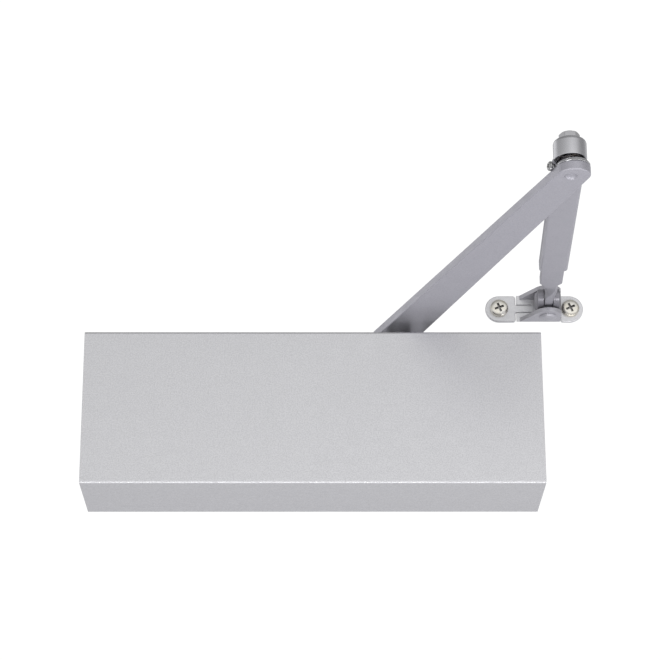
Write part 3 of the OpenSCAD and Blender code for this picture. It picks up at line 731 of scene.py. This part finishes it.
def make_arm_fixings():
    low, high = extent("arm_washer")
    hole_r, rim_r = 4.1, 10.0
    washer = lathe([
        (hole_r, low.z), (rim_r - 0.3, low.z), (rim_r, low.z + 0.25), (rim_r, high.z - 0.3),
        (rim_r - 0.3, high.z), (hole_r, high.z),
    ], ring=True)
    washer = moved(eased(tidied(washer), 0.1, 1, 60), AT_SPINDLE)
    piece("arm_washer_plain", washer, "arm", ZINC, ["arm_washer"])
    face, seat = high.z, high.z + 0.4
    low, high = extent("arm_screw")
    bm = together(hexagon(7.5, seat, high.z, 5.9), rod(7.0, face, seat + 0.1), rod(4.0, low.z, seat, 48))
    bm = moved(bm, AT_SPINDLE @ spin(13, "Z"))
    piece("arm_hex_screw", bm, "arm", ZINC, ["arm_screw"])


# ---------------------------------------------------------------- forearm

SLEEVE_W, SLEEVE_T = 19.2, 9.5
CLAMP_X = 192.0


def make_sleeve():
    start, end, clamp_hole_r = 18.0, 201.5, 3.05
    tube = prism(rounded_oblong(SLEEVE_W, SLEEVE_T, 2.0, 8), start, end)
    hollow = prism(rounded_oblong(BAR_W + 0.4, BAR_T + 0.3, 0.5, 3), start - 1, end + 1)
    bm = moved(cut(tube, hollow), ALONG_X)
    bm = cut(bm, moved(rod(clamp_hole_r, 2, 8, 48), shift(CLAMP_X)))
    bm = moved(eased(tidied(bm), 0.35, 2, 42), FOREARM)
    piece("forearm_tube", bm, "forearm", ARM_PAINT, ["forearm_sleeve"])


def make_clamp_screw():
    shank_r, head_r, head_height, key_r, flute_count = 3.0, 5.0, 5.0, 2.9, 30
    face = SLEEVE_T / 2
    top = face + head_height
    head = lathe([
        (0, 3.1), (shank_r, 3.1), (shank_r, face + 0.1), (head_r - 0.2, face + 0.1), (head_r, face + 0.4),
        (head_r, top - 0.5), (head_r - 0.5, top), (0, top),
    ], 72)
    flutes = [
        moved(rod(0.3, face + 1.0, top - 1.0, 8), spin(360 * k / flute_count, "Z") @ shift(head_r + 0.13))
        for k in range(flute_count)
    ]
    head = cut(head, prism(circle(key_r, 6), face + 2.2, top + 2), together(*flutes))
    bm = moved(eased(tidied(head), 0.06, 1, 50), FOREARM @ shift(CLAMP_X))
    piece("forearm_cap_screw", bm, "forearm", DARK_SCREW, ["forearm_clamp_screw"])


def make_bar():
    start, shoulder, neck, neck_end = 75.0, 233.0, 238.0, FORE_LENGTH - 8
    neck_w, tongue_t, tongue_r, pin_r = 9.2, 5.8, 5.5, 2.55
    twist, twist_from, twist_to, twist_steps = 90, neck + 1.4, neck_end - 2.5, 16
    # each station along the bar is (x, width, thickness, turn in degrees)
    stations = [
        (start, BAR_W, BAR_T - 0.8, 0), (start + 0.5, BAR_W, BAR_T, 0), (shoulder, BAR_W, BAR_T, 0),
        (shoulder + 0.6, BAR_W - 0.5, BAR_T, 0), (neck, neck_w + 0.2, BAR_T, 0),
        (twist_from, neck_w, BAR_T, 0),
    ]
    for k in range(1, twist_steps + 1):
        share = k / twist_steps
        ease = share * share * (3 - 2 * share)
        wide, thick = neck_w + (2 * tongue_r - neck_w) * ease, BAR_T + (tongue_t - BAR_T) * ease
        stations.append((twist_from + (twist_to - twist_from) * share, wide, thick, twist * ease))
    stations.append((neck_end, 2 * tongue_r, tongue_t, twist))
    rings = []
    for x, wide, thick, turn in stations:
        c, s = math.cos(math.radians(turn)), math.sin(math.radians(turn))
        section = rounded_oblong(wide, thick, 0.7, 3)
        rings.append([(x, p.x * c - p.y * s, p.x * s + p.y * c) for p in section])
    back = neck_end - 0.2
    side = [(back, -tongue_r), (FORE_LENGTH, -tongue_r)]
    side += arc((FORE_LENGTH, 0), tongue_r, math.radians(-80), math.radians(80), 16)
    side += [(FORE_LENGTH, tongue_r), (back, tongue_r)]
    tongue = moved(eased(prism(side, -tongue_t / 2, tongue_t / 2), 0.6, 2, 50), TO_FRONT)
    pin_hole = moved(rod(pin_r, -5, 5, 48), shift(FORE_LENGTH) @ TO_FRONT)
    bm = moved(tidied(cut(join(skin(rings, capped=True), tongue), pin_hole)), FOREARM)
    piece("forearm_bar_twisted", bm, "forearm_bar", ARM_PAINT, ["forearm_bar"])


# ---------------------------------------------------------------- knuckle


def make_knuckle():
    r, cheek, half, nose = 9.6, 7.5, 6.6, 5.2
    slot_half, slot_end, pivot_hole, pin_hole = 3.45, 6.1 - CROSS_BACK, 4.05, 2.5
    at_cross = shift(-CROSS_BACK) @ TO_FRONT
    side = [(r, -half, 0.8), (r, half, 0.8), (-3.5, half, 3), (-CROSS_BACK, nose + 0.25)]
    side += arc((-CROSS_BACK, 0), nose, math.radians(100), math.radians(260), 16)
    side += [(-CROSS_BACK, -nose - 0.25), (-3.5, -half, 3)]
    bm = moved(prism(smooth_corners(side), -12, 12), TO_FRONT)
    turn = math.pi - math.asin(cheek / r)
    above = arc((0, 0), r, -turn, turn, 60) + [(-CROSS_BACK - 6, cheek), (-CROSS_BACK - 6, -cheek)]
    bm = eased(tidied(meet(bm, prism(above, -half - 2, half + 2))), 1.0, 4, 50)
    slot = smooth_corners([
        (-CROSS_BACK - 9, -slot_half), (slot_end, -slot_half, 1.4), (slot_end, slot_half, 1.4),
        (-CROSS_BACK - 9, slot_half),
    ])
    bm = cut(
        bm, prism(slot, -10, 10), rod(pivot_hole, -10, 10, 64), moved(rod(pin_hole, -12, 12, 48), at_cross),
    )
    bm = moved(eased(tidied(bm), 0.4, 2, 50), KNUCKLE)
    piece("knuckle_fork", bm, "knuckle", KNUCKLE_PAINT, ["knuckle"])
    # one end of the pin, as (radius, distance from its middle); the other end is the same
    end = [(2.48, 6.8), (2.2, 7.2), (1.6, 7.45), (0, 7.48)]
    pin = lathe([(radius, -z) for radius, z in end[::-1]] + end, 48)
    pin = moved(pin, KNUCKLE @ at_cross)
    piece("knuckle_cross_pin", pin, "knuckle", PIN_METAL, ["cross_pin"])


# ---------------------------------------------------------------- shoe

SHOE_X = 148.25
SHOE_PITCH = 50.8
SHOE_T = 3.0
EAR_IN = 7.0
EAR_OUT = EAR_IN + SHOE_T
SCREW_XS = [SHOE_X - SHOE_PITCH / 2, SHOE_X + SHOE_PITCH / 2]


def lobe(x, inner):
    """A lobe of the shoe's plate about x: round outside, square with eased corners at inner."""
    r = 9.8
    side = 1 if inner > x else -1
    round_side = arc((x, 0), r, math.pi / 2, math.pi / 2 + side * math.pi, 36)
    return prism(smooth_corners([*round_side, (inner, -r, 1.8), (inner, r, 1.8)]), 0, SHOE_T)


def ear_outline(left, right):
    """The ears from above: straight from the left wing to their round end at the pivot."""
    r, t = 10.0, SHOE_T
    tip = Vector((left + 2.2, -t))
    away = PIVOT.xy - tip
    lean = math.atan2(away.y, away.x) - math.asin(r / away.length)
    touch = tip + math.sqrt(away.length_squared - r * r) * Vector((math.cos(lean), math.sin(lean)))
    start = math.atan2(touch.y - PIVOT.y, touch.x - PIVOT.x)
    end = -math.acos((right - PIVOT.x) / r)
    round_end = arc(PIVOT, r, start, end, 30)
    return smooth_corners([(left, 1), (left, -t), (tip.x, tip.y, 0.8), *round_end, (right, 1)])


def make_shoe():
    t = SHOE_T
    left_in, ear_right = SCREW_XS[0] + 11.7, PIVOT.x + 9.3
    ear_left, right_in = left_in + 0.7, ear_right + 0.6
    web_half, mouth_half, screw_hole, pivot_hole = 2.75, 3.25, 2.9, 4.02
    # the plate: two lobes and the web between them
    web = block((left_in - 2, -web_half, 0), (right_in + 2, web_half, t))
    plate = join(lobe(SCREW_XS[0], left_in), lobe(SCREW_XS[1] - 0.6, right_in), web)
    plate = eased(tidied(plate), 0.7, 3, 50)
    # the ears: a channel of sheet seen from its end, cut to the ears' outline seen from above
    reach = -30
    channel = smooth_corners([
        (EAR_OUT, reach), (EAR_OUT, 0, 3.6), (-EAR_OUT, 0, 3.6), (-EAR_OUT, reach), (-EAR_IN, reach),
        (-EAR_IN, -t, 0.6), (EAR_IN, -t, 0.6), (EAR_IN, reach),
    ], 8)
    channel = moved(prism(channel, SHOE_LOW.x, SHOE_HIGH.x), SWAP_X_Z)
    ears = tidied(meet(channel, prism(ear_outline(ear_left, ear_right), -20, 20)))
    ears = cut(ears, block((ear_left - 2, -t - 1, -mouth_half), (PIVOT.x - 10.5, 1, mouth_half)))
    ears = eased(tidied(ears), 0.45, 2, 50)
    bm = join(moved(ears, shift(z=PIVOT.z)), moved(plate, shift(z=PIVOT.z) @ TO_FRONT))
    screw_holes = [moved(rod(screw_hole, -2, t + 2, 48), shift(x, 0, PIVOT.z) @ TO_FRONT) for x in SCREW_XS]
    bm = tidied(cut(bm, moved(rod(pivot_hole, -20, 20, 64), AT_PIVOT), *screw_holes))
    # faces out on the ears take the darker enamel, which paints shade on them
    for face in bm.faces:
        face.material_index = 1 if face.calc_center_median().y < -t - 0.3 else 0
    piece("shoe_plate", bm, "shoe", (SHOE_PAINT, SHADED_EAR_PAINT), ["shoe_bracket"])


def make_shoe_fixings():
    pin_low, pin_high = (corner.z - PIVOT.z for corner in extent("pivot_pin"))
    head_r, pin_r, groove_r, groove = 6.0, 4.0, 3.4, EAR_OUT + 0.5
    pin = lathe([
        (0, pin_low), (2.4, pin_low + 0.1), (4.0, pin_low + 0.4), (5.1, pin_low + 0.9), (5.75, pin_low + 1.5),
        (head_r, pin_low + 2.1), (head_r, -EAR_OUT - 0.15), (head_r - 0.15, -EAR_OUT), (pin_r, -EAR_OUT),
        (pin_r, groove), (groove_r, groove), (groove_r, groove + 1), (pin_r, groove + 1),
        (pin_r, pin_high - 0.5), (pin_r - 0.5, pin_high), (0, pin_high),
    ], 72)
    # the pin takes the ears' darker enamel: painted shade
    piece("shoe_pivot_pin", moved(pin, AT_PIVOT), "shoe", SHADED_EAR_PAINT, ["pivot_pin"])
    ring = prism(circle(6.0, 72), groove + 0.05, groove + 0.95)
    gap = block((-1.6, 0, groove - 1), (1.6, 8, groove + 2))
    ring = cut(ring, rod(groove_r + 0.05, groove - 1, groove + 2, 48), gap)
    ring = moved(eased(tidied(ring), 0.12, 1, 50), AT_PIVOT)
    piece("shoe_pin_ring", ring, "shoe", BLUED, ["pivot_ring"])
    screws = []
    for x, turn in zip(SCREW_XS, (20, 24)):
        screw = pan_screw(6.4, 3.2, 2.2, SHOE_T + 14, math.radians(turn), neck=SHOE_T)
        screw = together(screw, threads(2.2, -SHOE_T - 13, -SHOE_T - 1.5, 1.8, 0.6))
        screws.append(moved(screw, shift(x, -SHOE_T, PIVOT.z) @ TO_FRONT))
    piece("shoe_screw_pair", together(*screws), "shoe", BRIGHT_SCREW, ["shoe_screws"])


# ---------------------------------------------------------------- casting and inner parts

NODE_FINISHES = (
    (BORE_METAL, ("left_plug", "right_plug", "piston", "spring_seat", "power_screw")),
    (SPINDLE_METAL, ("upper_gland_nut", "lower_gland_nut", "pinion_shaft", "check_ball")),
    (BRASS, ("upper_bearing", "lower_bearing", "sweep_valve", "latch_valve", "backcheck_valve")),
    (BLUED, ("ball_ring",)),
    (RUBBER, ("plug_seals", "shaft_seals")),
    (PLASTIC, ("spindle_cap",)),
)


def make_casting():
    bm = eased(node_mesh("closer_body"), 0.8, 2, 40)
    piece("body_casting", bm, "closer", CASTING, ["closer_body"], angle=40)


def make_spring():
    low, high = extent("closing_spring")
    wire, coil, turns = 2.75, 15.0, 9.5
    steps, sides = int(turns * 40), 16
    start, length = low.x + wire, high.x - low.x - 2 * wire
    along = Vector((1, 0, 0))
    rows = []
    for i in range(steps + 1):
        a = 2 * math.pi * turns * i / steps
        out = Vector((0, math.cos(a), math.sin(a)))
        middle = Vector((start + length * i / steps, SPINDLE.y, 0)) + coil * out
        rows.append([middle + p.x * out + p.y * along for p in circle(wire, sides)])
    bm = skin(rows, capped=True)
    obj = piece("closing_spring_wire", bm, "closer", BLUED, ["closing_spring"])
    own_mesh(obj)


def finish_inner_parts():
    """Gives the CAD nodes that are shown as they are their own materials."""
    for material, nodes in NODE_FINISHES:
        for node in nodes:
            mesh = frame["nodes"][node].data
            mesh.materials.clear()
            mesh.materials.append(material)


for make in (
    make_cover, make_cover_screws, make_brackets, make_main_arm, make_elbow_stud, make_elbow_collar,
    make_wave_washer, make_elbow_barrel, make_elbow_screw, make_arm_fixings, make_sleeve, make_clamp_screw,
    make_bar, make_knuckle, make_shoe, make_shoe_fixings, make_casting, make_spring, finish_inner_parts,
):
    make()

# ---------------------------------------------------------------- floor, light and camera

scene = bpy.context.scene
FLOOR_Z, FLOOR_HALF = -0.9, 6.0  # in metres, like all that follows
# brightness of the surroundings by how far a direction points right, and how far up
SIDE_STOPS = [
    (-1, 0.5), (-0.7, 0.64), (-0.2, 0.86), (0.12, 1.0), (0.3, 0.97), (0.6, 0.85), (0.85, 0.46), (1, 0.34),
]
HEIGHT_STOPS = [
    (-1, 0.72), (-0.85, 0.8), (-0.6, 1.04), (0.22, 1.08), (0.38, 0.9), (0.5, 0.74), (0.7, 0.42), (1, 0.4),
]
# soft patches added to that: direction, cosines of the patch's edge and core, and how much
PATCHES = [((0.05, 0.93, 0.36), 0.84, 0.96, -0.6), ((-0.66, 0.67, 0.34), 0.84, 0.97, 0.38)]
# name, place, aim, size, power, and whether it is a highlight alone or a soft fill without one
LIGHTS = [
    ("front_fill", (0.22, -0.62, -0.5), (0.1, -0.06, 0.0), (1.2, 0.75), 7.5, False),
    ("front_strip", (0.1, -0.45, -0.82), (0.0, -0.06, -0.04), (1.8, 0.14), 3.4, True),
]
# the camera, as solved from the cover's corners in the photo
CAMERA_PLACE = (-0.01003, -1.54329, -0.51705)
CAMERA_TURN = (111.177, 0.137, -0.398)
CAMERA_LENS = 126.71


def make_floor():
    bm = bmesh.new()
    bm.faces.new([bm.verts.new((x * FLOOR_HALF, y * FLOOR_HALF, 0)) for x, y in CORNERS])
    obj = scene_object(bm, "studio_floor")
    bm.free()
    obj.location.z = FLOOR_Z
    glow = {"Emission_Color": (0.92, 0.91, 1, 1), "Emission_Strength": 0.22}
    f = Finish("floor_paper", (0.86, 0.86, 0.86), 0.0, 0.85, **glow)
    f.colour(f.spread(f.noise(30.0, 3.0, 0.6), 0.0, 1.0), (0.84, 0.84, 0.84), (0.88, 0.88, 0.88))
    obj.data.materials.append(f.material)


def make_world():
    """Soft white surroundings: brighter in front and below, darker above and at the sides."""
    world = bpy.data.worlds.new("studio")
    world.use_nodes = True
    scene.world = world
    world.node_tree.nodes.clear()
    w = Nodes(world.node_tree)
    where = w.add("ShaderNodeTexCoord").outputs["Generated"]
    parts = w.add("ShaderNodeSeparateXYZ", Vector=where).outputs
    tones = []
    for axis, stops in (("X", SIDE_STOPS), ("Z", HEIGHT_STOPS)):
        ramp = w.add("ShaderNodeValToRGB", Fac=w.spread(parts[axis], 0.0, 1.0, -1.0, 1.0))
        while len(ramp.color_ramp.elements) < len(stops):
            ramp.color_ramp.elements.new(0.5)
        for element, (place, value) in zip(ramp.color_ramp.elements, stops):
            element.position = (place + 1) / 2
            element.color = (value, value, value, 1)
        tones.append(ramp.outputs["Color"])
    light = w.sum_of("MULTIPLY", *tones)
    for direction, edge, core, gain in PATCHES:
        dot = w.compute("ShaderNodeVectorMath", "DOT_PRODUCT", where, Vector(direction).normalized())
        light = w.sum_of("ADD", light, w.spread(dot.outputs["Value"], 0.0, gain, edge, core))
    lit = w.add("ShaderNodeBackground", Color=(0.985, 0.985, 1.0, 1), Strength=light)
    seen = w.add("ShaderNodeBackground", Color=(1, 1, 1, 1), Strength=1.05)
    pick = w.add("ShaderNodeMixShader", Fac=w.add("ShaderNodeLightPath").outputs["Is Camera Ray"])
    w.put(lit.outputs[0], pick.inputs[1])
    w.put(seen.outputs[0], pick.inputs[2])
    w.add("ShaderNodeOutputWorld", Surface=pick.outputs[0])


def make_light(name, place, aim, size, power, glossy):
    data = bpy.data.lights.new(name, "AREA")
    data.shape = "RECTANGLE"
    data.size, data.size_y = size
    data.energy = power
    obj = bpy.data.objects.new(name, data)
    obj.location = place
    obj.rotation_euler = (Vector(aim) - Vector(place)).to_track_quat("-Z", "Y").to_euler()
    obj.visible_glossy = glossy
    obj.visible_diffuse = not glossy
    scene.collection.objects.link(obj)


def make_camera():
    data = bpy.data.cameras.new("photo_view")
    data.lens = CAMERA_LENS
    data.sensor_width = 36.0
    data.clip_end = 50.0
    obj = bpy.data.objects.new("photo_view", data)
    obj.location = CAMERA_PLACE
    obj.rotation_euler = Euler([math.radians(a) for a in CAMERA_TURN])
    scene.collection.objects.link(obj)
    scene.camera = obj


make_floor()
make_world()
for light in LIGHTS:
    make_light(*light)
make_camera()
scene.view_settings.view_transform = "Standard"
